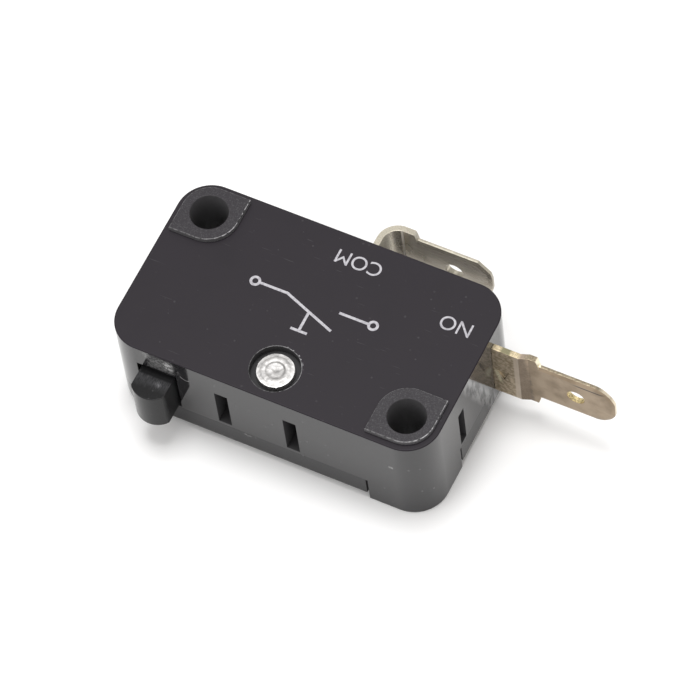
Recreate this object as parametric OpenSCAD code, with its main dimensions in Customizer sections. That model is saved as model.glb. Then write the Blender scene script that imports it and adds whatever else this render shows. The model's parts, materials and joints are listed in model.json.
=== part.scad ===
// Miniature snap-action switch: pin plunger, two push-on tabs, two mounting holes.
// Millimetres. X runs along the case with the plunger end at -X, the plunger stands out at -Y,
// Z runs through the mounting holes. The origin lies midway between them, level with the feet.

/* [Case] */
// Length of the case along X
case_length = 27.8; // [27:0.1:30]
// Width of the case along Y
case_width = 15.9; // [15.5:0.1:18]
// Thickness from the feet to the raised pads
overall_height = 10.3; // [10:0.1:12]
// Height of the raised pads above the printed face
pad_height = 0.44; // [0.2:0.02:0.6]
// Height of the cover's underside above the feet
foot_height = 0.75; // [0.4:0.05:1]
// Distance from mid-height down to the joint between case and cover
joint_drop = 2.5; // [2.4:0.05:2.7]
// Thickness of the outer walls
wall = 1.5; // [1.3:0.05:1.6]
// Thickness of the roof under the printed face
roof = 1.45; // [1.3:0.05:1.6]

/* [Mounting holes] */
// Distance from the case's edges to a hole's centre, also the corner radius
edge_distance = 2.8; // [2.6:0.05:3]
// Diameter of the mounting holes
hole_diameter = 3.1; // [2.9:0.05:3.3]
// Distance from a hole's centre to the inner edges of its raised pad
pad_reach = 2.5; // [2.2:0.05:2.6]
// Step from the case's outline in to a raised pad
pad_inset = 0.5; // [0.3:0.05:0.7]
// Distance from a hole's centre to the inner edges of its corner post
post_reach = 2.6; // [2.4:0.05:2.7]

/* [Cover and rivet] */
// Gap between the cover's notches and the corner posts
cover_gap = 0.18; // [0.1:0.02:0.25]
// Thickness of the cover's floor
cover_floor = 1.3; // [1.1:0.05:1.5]
// Rivet position along X
rivet_x = -0.15; // [-0.4:0.05:0.1]
// Rivet position inside the case's front edge
rivet_inset = 2.7; // [2.5:0.05:2.9]
// Diameter of the rivet's shank
rivet_shank = 1.8; // [1.6:0.05:2]
// Diameter of the rivet's head
rivet_head = 3.05; // [2.8:0.05:3.3]
// Diameter of the recess round the rivet's head
recess_diameter = 4.06; // [3.8:0.02:4.3]
// Depth of that recess
recess_depth = 0.8; // [0.65:0.05:0.9]
// Thickness of the rivet's formed head
head_height = 0.62; // [0.56:0.02:0.64]
// Thickness of the formed head at its rim
rim_height = 0.52; // [0.46:0.02:0.54]
// Diameter of the ring that the riveting tool raised on the head
ring_diameter = 2; // [1.9:0.05:2.3]
// Diameter of the dish inside that ring
dish_diameter = 1.35; // [1.2:0.05:1.5]
// Depth of the dish
dish_depth = 0.12; // [0.08:0.01:0.16]
// Thickness of the rivet's other head, sunk in the cover
back_head_height = 0.5; // [0.4:0.05:0.55]
// Width of the chamfer round that head
back_head_chamfer = 0.23; // [0.1:0.01:0.3]

/* [Wall openings] */
// Height of the lever slots and of the spare terminal slot
slot_height = 4.3; // [4:0.1:4.4]
// Middle of the first lever slot along X
slot_one_x = -3.8; // [-4:0.05:-3.6]
// Middle of the second lever slot along X
slot_two_x = 2.13; // [2:0.05:2.3]
// Width of the lever slots
slot_width = 1.13; // [1:0.05:1.25]
// Depth of the lever slots
slot_depth = 1.9; // [1.6:0.05:2.1]
// Middle of the spare terminal slot along Y
spare_slot_y = -1.85; // [-1.9:0.05:-1.7]
// Width of the spare terminal slot
spare_slot_width = 0.9; // [0.7:0.05:0.95]

/* [Plunger] */
// Distance from the end of the case to the plunger's middle
plunger_end = 4.6; // [4.4:0.05:4.8]
// Width of the plunger, with a half-round nose
plunger_width = 2.9; // [2.7:0.05:3]
// Height of the plunger along Z
plunger_height = 4; // [3.8:0.05:4.1]
// How far the free plunger stands out of the front wall
plunger_free = 2.5; // [2.3:0.05:2.8]
// Play between the plunger and its opening
plunger_play = 0.2; // [0.15:0.01:0.22]
// Extra width of that opening towards the end of the case
opening_side = 0.15; // [0:0.01:0.2]
// Extra height of that opening above the plunger
opening_head = 0.35; // [0.2:0.05:0.4]
// Travel to the snap point
pretravel = 0.95; // [0.8:0.05:1.05]
// Travel beyond the snap point
overtravel = 1; // [0.8:0.05:1.05]

/* [Terminals] */
// Thickness of the terminal strip
strip = 0.5; // [0.45:0.01:0.55]
// Width of the push-on tabs
tab_width = 4.75; // [4.5:0.05:4.8]
// Length of the tabs with their shoulders
tab_length = 6.6; // [6.3:0.05:6.8]
// Diameter of the tabs' holes
tab_hole = 1.5; // [1.3:0.05:1.6]
// Width of the terminals outside the case, before the shoulders
root_width = 6.3; // [6:0.05:6.4]
// Width of the terminals where they pass the wall
neck_width = 4.55; // [4.3:0.05:4.65]
// Distance from the back edge of the case to the NO terminal's front face
no_inset = 4.23; // [4.1:0.01:4.3]
// Length of the NO terminal's root outside the case
no_root = 3.65; // [3.5:0.05:4]
// Offset of the jog in the NO terminal
jog = 0.25; // [0.15:0.01:0.35]
// COM terminal position along X, its outer face
com_x = 1.37; // [1.25:0.02:1.5]
// Distance from the case's back wall to the inner face of the COM tab
com_standoff = 2.6; // [2.4:0.05:2.9]
// Inner radius of the COM terminal's bend
bend_radius = 1.25; // [1:0.05:1.4]

/* [Snap mechanism] */
// Thickness of the contact blade
blade = 0.3; // [0.25:0.01:0.35]
// Pivot of the blade along X
pivot_x = -4.6; // [-4.7:0.05:-4.5]
// Distance from the pivot to the moving contact
contact_arm = 12.2; // [12:0.05:12.4]
// Open gap between the contacts
contact_gap = 1; // [0.8:0.05:1.1]
// Thickness of the fixed contact's head
fixed_contact = 0.8; // [0.7:0.05:0.9]
// Thickness of the moving contact's head
moving_head = 0.55; // [0.45:0.05:0.6]
// Distance from the pivot to the spring's hook on the blade
hook_arm = 7.9; // [7.7:0.05:8.1]
// Drop of that hook below the blade
hook_drop = 0.6; // [0.5:0.02:0.7]
// Mean radius of the spring's coil
coil_radius = 0.68; // [0.6:0.01:0.7]
// Radius of the spring's wire
wire = 0.12; // [0.1:0.005:0.13]
// Number of turns
turns = 14; // [10:1:16]

/* [Hidden] */
$fn = 64;

plastic = [0.09, 0.09, 0.1];
brass = [0.72, 0.6, 0.38];
bright = [0.82, 0.82, 0.83];
copper = [0.75, 0.5, 0.32];
steel = [0.6, 0.61, 0.63];

cut = 0.2;
play = 0.08;
touch = 0.02;

face_z = overall_height - pad_height;
mid_z = (face_z + foot_height) / 2;
joint_height = mid_z - joint_drop;
ceiling_z = face_z - roof;
half_x = case_length / 2;
half_y = case_width / 2;
hole_x = half_x - edge_distance;
hole_y = half_y - edge_distance;
inner_x = half_x - wall;
inner_y = half_y - wall;

rivet_y = rivet_inset - half_y;
rivet_bore = rivet_shank + play;
rivet_seat = face_z - recess_depth;
pillar_radius = 1.9;
cover_sink = 0.6;
cover_seat = foot_height + cover_sink;
ring_land = 0.08;
cover_sink_diameter = 3.5;

rib_margin = 1.6;
rib_wall = 0.75;
rib_start = slot_one_x - rib_margin;
rib_length = slot_two_x + rib_margin - rib_start;
rib_face = -half_y + slot_depth + rib_wall;

travel = pretravel + overtravel;
plunger_x = plunger_end - half_x;
tip_y = -half_y - plunger_free;
nose_y = tip_y + plunger_width / 2;
plunger_drop = 0.1;
plunger_z = mid_z - plunger_height / 2 - plunger_drop;
flange_lip = 0.55;
flange = 0.9;
flange_y = touch - inner_y;
leg_width = 1.4;
leg_height = 1;
leg_gap = 0.15;
leg_z = mid_z + coil_radius + wire + leg_gap;
post_gap = 0.25;
leg_x = post_reach + post_gap - hole_x;
leg_end = 0.55;
link_x = leg_x + leg_width - leg_end;
link_hole = 0.2;

no_y = half_y - no_inset;
no_end = half_x + no_root;
no_jog_start = 2.3;
no_jog_x = half_x + no_jog_start;
no_jog_run = 0.7;
contact_x = pivot_x + contact_arm;
tail_reach = 1.9;
no_tail = contact_x - tail_reach;
key = 0.6;
key_reach = 2.9;
contact_shank = 0.6;
fixed_radius = 1.5;
fixed_chamfer = 0.24;
fixed_back_radius = 0.96;
fixed_back = 0.32;
moving_radius = 1.4;
moving_chamfer = 0.22;
moving_flat_radius = 0.98;
moving_back_radius = 0.9;

com_tab_y = half_y + com_standoff;
com_land = 0.86;
com_root_end = com_x + strip + bend_radius + com_land;
com_gap = 0.25;
com_in = inner_y - com_gap - strip;
anchor_width = 4.4;
anchor_key = 1.1;
anchor_key_depth = 0.8;
fork_gap = 2.4;
fork_reach = 1;

shoulder = 0.2;
tip_cut = 1.05;
tip_land = 0.14;
tip_drop = 0.65;
bevel_height = 0.33;
bevel_depth = 0.13;
hole_from_tip = 3.3;
mark_side = 0.95;
mark_half = 0.57;
mark_depth = 0.12;
mark_start = 0.35;
mark_drop = 0.45;
mark_x = half_x + mark_start;

pivot_y = no_y - fixed_contact - touch - moving_head - blade / 2;
rest_angle = asin(contact_gap / contact_arm);
blade_tip = 2.1;
blade_end = contact_arm + blade_tip;
stop_width = 1.3;
stop_cover = 0.9;
stop_x = pivot_x + blade_end * cos(rest_angle) - stop_cover;
stop_y = pivot_y - blade_end * sin(rest_angle) - blade / 2 - touch;
hook_x = pivot_x + hook_arm * cos(rest_angle) - hook_drop * sin(rest_angle);
hook_y = pivot_y - hook_arm * sin(rest_angle) - hook_drop * cos(rest_angle);
link_y = hook_y + (pivot_y - hook_y) * (hook_x - link_x) / (hook_x - pivot_x) - pretravel;
spring_length = norm([hook_x - link_x, hook_y - link_y]);
spring_angle = atan2(hook_y - link_y, hook_x - link_x);
lug = 0.3;
lug_length = 1.2;
lug_edge = 0.5;
lug_hole = 0.3;
lug_shift = 0.12;
anchor_lip = 0.5;
anchor_tip = pivot_y - anchor_lip;
fork_gap_above = 1.4;
fork_root = pivot_y + overtravel + fork_gap_above;

pin_top = leg_z + leg_height - mid_z;
pin_bend = 0.3;
pin_lead = 1.1;
wire_sides = 8;
turn_steps = 14;
bend_steps = 4;

// Rounded outline of the case
module case_plan() {
    square([case_length - 2 * edge_distance, case_width], center = true);
    square([case_length, case_width - 2 * edge_distance], center = true);
    for (x = [-1, 1], y = [-1, 1]) {
        translate([x * hole_x, y * hole_y]) circle(r = edge_distance);
    }
}

// Places a shape at both mounting holes, turned by half a turn at the second one
module at_holes() {
    translate([-hole_x, hole_y]) children();
    rotate(180) translate([-hole_x, hole_y]) children();
}

// Square corner round a hole: outer corner and inner corner rounded, the other two sharp
module corner_plan(outer, inner) {
    translate([-outer, -inner]) square([outer, inner]);
    square([inner, outer]);
    intersection() {
        circle(r = outer);
        translate([-outer, 0]) square(outer);
    }
    intersection() {
        circle(r = inner);
        translate([0, -inner]) square(inner);
    }
}

// Hollow of the case, with the posts, ribs and stop left standing
module hollow_plan() {
    difference() {
        square([2 * inner_x, 2 * inner_y], center = true);
        at_holes() corner_plan(edge_distance, post_reach);
        translate([rivet_x, rivet_y]) circle(r = pillar_radius);
        translate([rib_start, -half_y]) square([rib_length, half_y + rib_face]);
        translate([stop_x, -hole_y]) square([stop_width, hole_y + stop_y]);
        translate([no_tail, no_y + strip + touch]) square([key, half_y - no_y]);
        translate([contact_x + key_reach, no_y + strip + touch]) square([key, half_y - no_y]);
        translate([pivot_x - strip - touch - anchor_key, com_in - anchor_key_depth])
            square([anchor_key, half_y - com_in]);
    }
}

module slot_box(x, y, width, depth, height) {
    translate([x, y, mid_z - height / 2]) cube([width, depth, height]);
}

module case() {
    color(plastic) difference() {
        union() {
            translate([0, 0, joint_height]) linear_extrude(face_z - joint_height) case_plan();
            linear_extrude(face_z) at_holes() corner_plan(edge_distance, post_reach);
            linear_extrude(overall_height) at_holes() corner_plan(edge_distance - pad_inset, pad_reach);
        }
        translate([0, 0, joint_height - cut]) linear_extrude(ceiling_z - joint_height + cut) hollow_plan();
        translate([0, 0, -cut]) linear_extrude(overall_height + 2 * cut) at_holes() circle(d = hole_diameter);
        translate([rivet_x, rivet_y, 0]) cylinder(d = rivet_bore, h = overall_height);
        translate([rivet_x, rivet_y, rivet_seat]) cylinder(d = recess_diameter, h = recess_depth + cut);
        slot_box(slot_one_x - slot_width / 2, -half_y - cut, slot_width, slot_depth + cut, slot_height);
        slot_box(slot_two_x - slot_width / 2, -half_y - cut, slot_width, slot_depth + cut, slot_height);
        slot_box(inner_x - cut, spare_slot_y - spare_slot_width / 2, wall + 2 * cut, spare_slot_width, slot_height);
        translate([plunger_x - plunger_width / 2 - plunger_play - opening_side, -half_y - cut,
                   plunger_z - plunger_play])
            cube([plunger_width + 2 * plunger_play + opening_side, wall + 2 * cut,
                  plunger_height + plunger_play + opening_head]);
        translate([inner_x - cut, no_y - play, joint_height - cut])
            cube([wall + 2 * cut, strip + 2 * play, mid_z + neck_width / 2 + play - joint_height + cut]);
        translate([com_x - play, inner_y - cut, joint_height - cut])
            cube([strip + 2 * play, wall + 2 * cut, mid_z + neck_width / 2 + play - joint_height + cut]);
    }
}

module cover() {
    color(plastic) difference() {
        translate([0, 0, foot_height]) linear_extrude(joint_height - foot_height) difference() {
            case_plan();
            at_holes() corner_plan(edge_distance + cut, post_reach + cover_gap);
        }
        translate([0, 0, foot_height + cover_floor]) linear_extrude(joint_height) difference() {
            square([2 * inner_x, 2 * inner_y], center = true);
            at_holes() corner_plan(edge_distance + cut, post_reach + cover_gap + wall);
            translate([rivet_x, rivet_y]) circle(r = pillar_radius);
        }
        translate([rivet_x, rivet_y, 0]) cylinder(d = rivet_bore, h = overall_height);
        translate([rivet_x, rivet_y, 0]) cylinder(d = cover_sink_diameter, h = cover_seat);
    }
}

// Formed head of the rivet: sloping rim, raised ring, dish with a low dome and a dimple
module formed_head() {
    rotate_extrude() polygon([
        [0, -touch], [rivet_shank / 2, -touch], [rivet_shank / 2, 0], [rivet_head / 2, 0],
        [rivet_head / 2, rim_height], [ring_diameter / 2 + ring_land, head_height],
        [ring_diameter / 2 - ring_land, head_height], [dish_diameter / 2, head_height - dish_depth],
        [dish_diameter / 2 - ring_land, head_height - dish_depth], [ring_land * 3, head_height - dish_depth / 3],
        [ring_land * 2, head_height - dish_depth / 3], [0, head_height - dish_depth]]);
}

module rivet() {
    color(bright) translate([rivet_x, rivet_y, 0]) {
        translate([0, 0, cover_seat - back_head_height]) {
            cylinder(d1 = rivet_head - 2 * back_head_chamfer, d2 = rivet_head, h = back_head_chamfer);
            translate([0, 0, back_head_chamfer]) cylinder(d = rivet_head, h = back_head_height - back_head_chamfer);
        }
        translate([0, 0, cover_seat - touch]) cylinder(d = rivet_shank, h = rivet_seat - cover_seat + touch);
        translate([0, 0, rivet_seat]) formed_head();
    }
}

module plunger() {
    color(plastic) difference() {
        union() {
            translate([plunger_x, 0, plunger_z]) linear_extrude(plunger_height) {
                translate([0, nose_y]) circle(d = plunger_width);
                translate([-plunger_width / 2, nose_y]) square([plunger_width, flange_y + flange - nose_y]);
            }
            translate([plunger_x - plunger_width / 2 - flange_lip, flange_y, plunger_z - plunger_drop])
                cube([leg_x + leg_width - plunger_x + plunger_width / 2 + flange_lip, flange,
                      leg_z + leg_height - plunger_z + plunger_drop]);
            translate([leg_x, flange_y, leg_z]) cube([leg_width, link_y + leg_end - flange_y, leg_height]);
        }
        translate([link_x, link_y, 0]) cylinder(r = link_hole, h = overall_height);
    }
}

// Bevel prism along an edge that runs from one point of the tab's outline to another, on its front face
module edge_bevel(from, to) {
    run = to - from;
    translate([from[0], 0, from[1]]) rotate([0, -atan2(run[1], run[0]), 0]) rotate([90, 0, 90])
        linear_extrude(norm(run) + cut)
            polygon([[-bevel_depth, -2 * bevel_height], [bevel_depth, 0], [bevel_depth, cut], [-bevel_depth, cut]]);
}

// Upper half of the tab's outline, from the shoulder to the middle of the tip
tab_edge = [[shoulder, tab_width / 2], [tab_length - tip_land - tip_cut, tab_width / 2],
            [tab_length - tip_land, tab_width / 2 - tip_cut],
            [tab_length, tab_width / 2 - tip_cut - tip_drop], [tab_length, 0]];

// Shoulder and push-on tab: starts at X = 0, front face at Y = 0, middle at Z = 0
module tab() {
    difference() {
        translate([0, strip, 0]) rotate([90, 0, 0]) linear_extrude(strip)
            for (side = [0, 1]) {
                mirror([0, side]) polygon(concat([[0, 0], [0, root_width / 2]], tab_edge));
            }
        translate([tab_length - hole_from_tip, -cut, 0]) rotate([-90, 0, 0])
            cylinder(d = tab_hole, h = strip + 2 * cut);
        for (side = [0, 1], face = [0, 1], i = [0 : len(tab_edge) - 2]) {
            translate([0, face * strip, 0]) mirror([0, face, 0]) mirror([0, 0, side])
                edge_bevel(tab_edge[i], tab_edge[i + 1]);
        }
    }
}

module com_terminal() {
    color(brass) difference() {
        union() {
            translate([pivot_x - strip, com_in, mid_z - anchor_width / 2])
                cube([com_x + 2 * strip - pivot_x, strip, anchor_width]);
            translate([pivot_x - strip, anchor_tip, mid_z - anchor_width / 2])
                cube([strip, com_in + strip - anchor_tip, anchor_width]);
            translate([com_x, com_in, mid_z - neck_width / 2])
                cube([strip, half_y + 2 * touch - com_in, neck_width]);
            translate([0, 0, mid_z - root_width / 2]) linear_extrude(root_width) {
                translate([com_x, half_y + touch]) square([strip, com_standoff - bend_radius - touch]);
                translate([com_x + strip + bend_radius, com_tab_y])
                    square([com_root_end - com_x - strip - bend_radius, strip]);
                translate([com_x + strip + bend_radius, com_tab_y - bend_radius]) intersection() {
                    difference() {
                        circle(r = bend_radius + strip);
                        circle(r = bend_radius);
                    }
                    translate([-bend_radius - strip, 0]) square(bend_radius + strip);
                }
            }
            translate([com_root_end, com_tab_y, mid_z]) tab();
        }
        translate([pivot_x - strip - cut, anchor_tip - cut, mid_z - fork_gap / 2])
            cube([strip + 2 * cut, fork_root - anchor_tip + cut, fork_gap]);
        translate([pivot_x, pivot_y, 0]) cylinder(r = blade / 2 + touch, h = overall_height);
    }
}

module no_terminal() {
    color(brass) difference() {
        union() {
            translate([no_tail, no_y, mid_z - neck_width / 2])
                cube([half_x + 2 * touch - no_tail, strip, neck_width]);
            translate([0, 0, mid_z - root_width / 2]) linear_extrude(root_width)
                polygon([[half_x + touch, no_y], [no_jog_x, no_y], [no_jog_x + no_jog_run, no_y + jog],
                         [no_end, no_y + jog], [no_end, no_y + jog + strip],
                         [no_jog_x + no_jog_run, no_y + jog + strip], [no_jog_x, no_y + strip],
                         [half_x + touch, no_y + strip]]);
            translate([no_end, no_y + jog, mid_z]) tab();
        }
        translate([contact_x, no_y - cut, mid_z]) rotate([-90, 0, 0])
            cylinder(r = contact_shank, h = strip + 2 * cut);
        translate([mark_x, no_y + mark_depth, mid_z - mark_drop]) rotate([90, 0, 0])
            linear_extrude(mark_depth + cut)
                polygon([[0, mark_half], [mark_side, mark_half], [mark_half, -mark_half]]);
    }
}

module no_contact() {
    color(bright) translate([contact_x, no_y, mid_z]) rotate([90, 0, 0]) {
        cylinder(r = fixed_radius, h = fixed_contact - fixed_chamfer);
        translate([0, 0, fixed_contact - fixed_chamfer])
            cylinder(r1 = fixed_radius, r2 = fixed_radius - fixed_chamfer, h = fixed_chamfer);
        translate([0, 0, -strip]) cylinder(r = contact_shank, h = strip + touch);
        translate([0, 0, -strip - fixed_back]) cylinder(r = fixed_back_radius, h = fixed_back);
    }
}

// Places what belongs to the blade: X along it from the pivot, turned to the open position
module on_blade() {
    translate([pivot_x, pivot_y, mid_z]) rotate([0, 0, -rest_angle]) children();
}

module contact_blade() {
    color(copper) on_blade() difference() {
        union() {
            translate([0, -blade / 2, -anchor_width / 2]) cube([blade_end, blade, anchor_width]);
            cylinder(d = blade, h = anchor_width, center = true);
            translate([hook_arm - lug_length / 2, -hook_drop - lug_edge, fork_gap / 2 - lug])
                cube([lug_length, hook_drop + lug_edge + blade / 2, lug + touch]);
        }
        difference() {
            translate([-2 * blade, -2 * blade, -fork_gap / 2])
                cube([hook_arm + fork_reach + 2 * blade, 4 * blade, fork_gap]);
            translate([hook_arm - lug_length / 2, -hook_drop - lug_edge, fork_gap / 2 - lug])
                cube([lug_length, hook_drop + lug_edge + blade / 2, lug + cut]);
        }
        translate([hook_arm - lug_shift, -hook_drop, 0]) cylinder(r = lug_hole, h = fork_gap / 2 + cut);
        translate([contact_arm, 0, 0]) rotate([90, 0, 0])
            cylinder(r = contact_shank, h = 2 * blade, center = true);
    }
}

module moving_contact() {
    color(bright) on_blade() translate([contact_arm, 0, 0]) rotate([-90, 0, 0]) {
        translate([0, 0, blade / 2]) cylinder(r = moving_radius, h = moving_head - moving_chamfer);
        translate([0, 0, blade / 2 + moving_head - moving_chamfer])
            cylinder(r1 = moving_radius, r2 = moving_flat_radius, h = moving_chamfer);
        translate([0, 0, -blade / 2]) cylinder(r = contact_shank, h = blade + touch);
        translate([0, 0, -3 * blade / 2]) cylinder(r = moving_back_radius, h = blade);
    }
}

// Path of the spring's wire: pin, bend, lead, coil, lead, bend, pin
function bend_point(a) = [pin_bend - pin_bend * cos(a), 0, pin_bend - pin_bend * sin(a)];
function flip(p) = [spring_length - p[0], p[1], p[2]];
function coil_point(s) =
    let (grow = min(1, min(s, 1 - s) * 2 * turns), a = 360 * turns * s)
    [pin_lead + (spring_length - 2 * pin_lead) * s, coil_radius * grow * cos(a), coil_radius * grow * sin(a)];
start_path = [[0, 0, pin_top], for (i = [0 : bend_steps]) bend_point(90 * i / bend_steps)];
coil_steps = turns * turn_steps;
coil_path = [for (i = [0 : coil_steps]) coil_point(i / coil_steps)];
end_path = [for (i = [len(start_path) - 1 : -1 : 0]) flip(start_path[i])];
wire_path = concat(start_path, coil_path, end_path);
wire_last = len(wire_path) - 1;
function wire_turn(i) =
    let (s = (i - len(start_path)) / coil_steps)
    360 * turns * max(0, min(1, s));
function unit(v) = v / norm(v);
function wire_way(i) = unit(wire_path[min(i + 1, wire_last)] - wire_path[max(i - 1, 0)]);
function wire_side(i) =
    let (n = [0, cos(wire_turn(i)), sin(wire_turn(i))], t = wire_way(i))
    unit(n - t * (n * t));
function wire_ring(i) =
    let (n = wire_side(i), b = cross(wire_way(i), n))
    [for (k = [0 : wire_sides - 1])
        wire_path[i] + wire * (n * cos(360 * k / wire_sides) + b * sin(360 * k / wire_sides))];
wire_points = [for (i = [0 : wire_last]) each wire_ring(i)];
wire_faces = concat(
    [[for (k = [wire_sides - 1 : -1 : 0]) k]],
    [for (i = [0 : wire_last - 1], k = [0 : wire_sides - 1])
        let (a = i * wire_sides, n = (k + 1) % wire_sides)
        [a + k, a + n, a + wire_sides + n, a + wire_sides + k]],
    [[for (k = [0 : wire_sides - 1]) wire_last * wire_sides + k]]);

module snap_spring() {
    color(steel) translate([link_x, link_y, mid_z]) rotate([0, 0, spring_angle])
        polyhedron(points = wire_points, faces = wire_faces, convexity = 10);
}

case();
cover();
rivet();
plunger();
com_terminal();
no_terminal();
no_contact();
contact_blade();
moving_contact();
snap_spring();
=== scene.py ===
import json
import math

import bmesh
import bpy
from mathutils import Euler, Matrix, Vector, noise

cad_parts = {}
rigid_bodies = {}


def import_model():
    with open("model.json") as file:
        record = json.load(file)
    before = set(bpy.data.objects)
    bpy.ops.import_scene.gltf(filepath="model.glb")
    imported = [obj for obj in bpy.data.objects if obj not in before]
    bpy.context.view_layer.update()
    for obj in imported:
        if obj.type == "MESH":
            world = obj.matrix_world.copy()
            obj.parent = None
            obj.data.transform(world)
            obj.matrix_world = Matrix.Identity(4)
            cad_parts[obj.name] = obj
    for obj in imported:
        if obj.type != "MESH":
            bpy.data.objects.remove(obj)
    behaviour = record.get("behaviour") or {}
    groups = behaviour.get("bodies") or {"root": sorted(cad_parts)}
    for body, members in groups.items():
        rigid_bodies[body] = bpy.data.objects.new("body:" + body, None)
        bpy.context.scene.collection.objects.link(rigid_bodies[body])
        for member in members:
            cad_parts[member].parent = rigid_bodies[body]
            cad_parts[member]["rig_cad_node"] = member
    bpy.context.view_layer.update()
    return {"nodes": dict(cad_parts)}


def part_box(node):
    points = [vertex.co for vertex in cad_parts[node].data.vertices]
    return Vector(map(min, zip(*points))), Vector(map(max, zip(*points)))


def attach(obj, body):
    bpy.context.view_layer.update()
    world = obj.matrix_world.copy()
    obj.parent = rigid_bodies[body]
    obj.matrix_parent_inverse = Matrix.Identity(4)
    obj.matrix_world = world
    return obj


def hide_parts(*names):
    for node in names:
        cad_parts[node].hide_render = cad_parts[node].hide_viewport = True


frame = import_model()


# Case
# Upper half of the housing: one black moulding with the face, the walls, two corner posts and the
# raised pads. The mould leaves the face finely eroded, the walls polished and the edges just broken.
MM = 0.001
merge_gap = 0.002
level_deg = 0.6
tolerance = 0.01
outline_slack = 0.03
rim_slack = 0.05
corner_radius = 2.8
pad_height = 0.44
hole_radius = 1.55
recess_radius = 2.03
recess_depth = 0.8
pad_break = 0.06
face_break = 0.1
rim_break = 0.05
joint_break = 0.025
foot_break = 0.08
case_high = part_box("case")[1] / MM
pad_z = case_high.z
face_z = pad_z - pad_height
hole_x = case_high.x - corner_radius
hole_y = case_high.y - corner_radius
cover_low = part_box("cover")[0].z / MM
joint_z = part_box("cover")[1].z / MM
rivet_low, rivet_high = [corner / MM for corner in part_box("rivet")]
rivet_axis = (rivet_low + rivet_high) / 2


# A dressed piece starts as a merged copy of its CAD solid, so it keeps that solid's size and place
def join_copy(node_name, piece_name):
    bpy.ops.object.select_all(action="DESELECT")
    node = frame["nodes"][node_name]
    node.select_set(True)
    bpy.context.view_layer.objects.active = node
    bpy.ops.object.duplicate()
    piece = bpy.context.active_object
    piece.name = piece.data.name = piece_name
    del piece["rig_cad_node"]
    piece.data.materials.clear()
    bpy.ops.object.mode_set(mode="EDIT")
    bpy.ops.mesh.select_all(action="SELECT")
    bpy.ops.mesh.remove_doubles(threshold=merge_gap * MM)
    bpy.ops.mesh.dissolve_limited(angle_limit=math.radians(level_deg))
    bpy.ops.object.mode_set(mode="OBJECT")
    return piece


def break_edges(piece, chosen, width, segments=2, sharp_deg=35):
    bpy.ops.object.mode_set(mode="EDIT")
    bpy.ops.mesh.select_mode(type="EDGE")
    bpy.ops.mesh.select_all(action="DESELECT")
    mesh = bmesh.from_edit_mesh(piece.data)
    for edge in mesh.edges:
        middle = (edge.verts[0].co + edge.verts[1].co) / 2 / MM
        sharp = edge.is_manifold and edge.calc_face_angle() > math.radians(sharp_deg)
        edge.select_set(sharp and chosen(middle, [face.normal for face in edge.link_faces]))
    bmesh.update_edit_mesh(piece.data)
    bpy.ops.mesh.bevel(offset=width * MM, segments=segments, affect="EDGES", clamp_overlap=False)
    bpy.ops.object.mode_set(mode="OBJECT")


# Wide faces stay flat, and the narrow faces of a curve or a broken edge lean to the wide ones beside them
def smooth_faces(piece, limit_deg=50, flat_width=0.45):
    bpy.ops.object.shade_smooth()
    mesh = bmesh.new()
    mesh.from_mesh(piece.data)
    limit = math.cos(math.radians(limit_deg))
    flat = {}
    for face in mesh.faces:
        flat[face] = face.calc_area() / max(edge.calc_length() for edge in face.edges) > flat_width * MM
    normals = []
    for face in mesh.faces:
        for corner in face.loops:
            normal = face.normal.copy()
            if not flat[face]:
                beside = [other for other in corner.vert.link_faces if other.normal.dot(face.normal) > limit]
                leading = [other for other in beside if flat[other]] or beside
                normal = sum((other.normal * other.calc_area() for other in leading), Vector()).normalized()
            normals.append(normal)
    mesh.free()
    piece.data.normals_split_custom_set(normals)


def near(value, target):
    return abs(value - target) < tolerance


def outline_reach(point):
    return Vector((max(abs(point.x) - hole_x, 0), max(abs(point.y) - hole_y, 0))).length


def rivet_distance(point):
    return (point.xy - rivet_axis.xy).length


def hole_distance(point):
    folded = Vector((abs(point.x), -math.copysign(1, point.x) * point.y))
    return (folded - Vector((hole_x, hole_y))).length


def at_level(z):
    return lambda point, normals: near(point.z, z)


def on_outline(point):
    return abs(outline_reach(point) - corner_radius) < outline_slack


def on_outline_at(z):
    return lambda point, normals: near(point.z, z) and on_outline(point)


def on_recess_rim(point, normals):
    return near(point.z, face_z) and rivet_distance(point) < recess_radius + rim_slack


case_moulding = join_copy("case", "case_moulding")
break_edges(case_moulding, at_level(pad_z), pad_break)
break_edges(case_moulding, on_outline_at(face_z), face_break, segments=3)
break_edges(case_moulding, on_recess_rim, rim_break)
break_edges(case_moulding, on_outline_at(joint_z), joint_break)
break_edges(case_moulding, at_level(0), foot_break)
smooth_faces(case_moulding)


# The finishes are built from masks that run from 0 to 1, with places and lengths in millimetres
def shader_node(net, kind, settings=None, **inputs):
    made = net.nodes.new("ShaderNode" + kind)
    for name, value in (settings or {}).items():
        setattr(made, name, value)
    for name, value in inputs.items():
        made.inputs[name.replace("_", " ")].default_value = value
    return made


def new_group(name, inputs, outputs):
    group = bpy.data.node_groups.new(name, "ShaderNodeTree")
    for socket in inputs:
        group.interface.new_socket(socket, in_out="INPUT", socket_type="NodeSocketFloat")
    for socket, kind in outputs:
        group.interface.new_socket(socket, in_out="OUTPUT", socket_type="NodeSocket" + kind)
    return group, group.nodes.new("NodeGroupInput"), group.nodes.new("NodeGroupOutput")


def place_group(net, group, **inputs):
    return shader_node(net, "Group", {"node_tree": group}, **inputs).outputs


def calc(net, operation, first, second=0.0):
    made = shader_node(net, "Math", {"operation": operation})
    for socket, value in zip(made.inputs, (first, second)):
        if isinstance(value, (int, float)):
            socket.default_value = value
        else:
            net.links.new(value, socket)
    return made.outputs[0]


def product(net, first, *others):
    for other in others:
        first = calc(net, "MULTIPLY", first, other)
    return first


def strongest(net, first, *others):
    for other in others:
        first = calc(net, "MAXIMUM", first, other)
    return first


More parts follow.
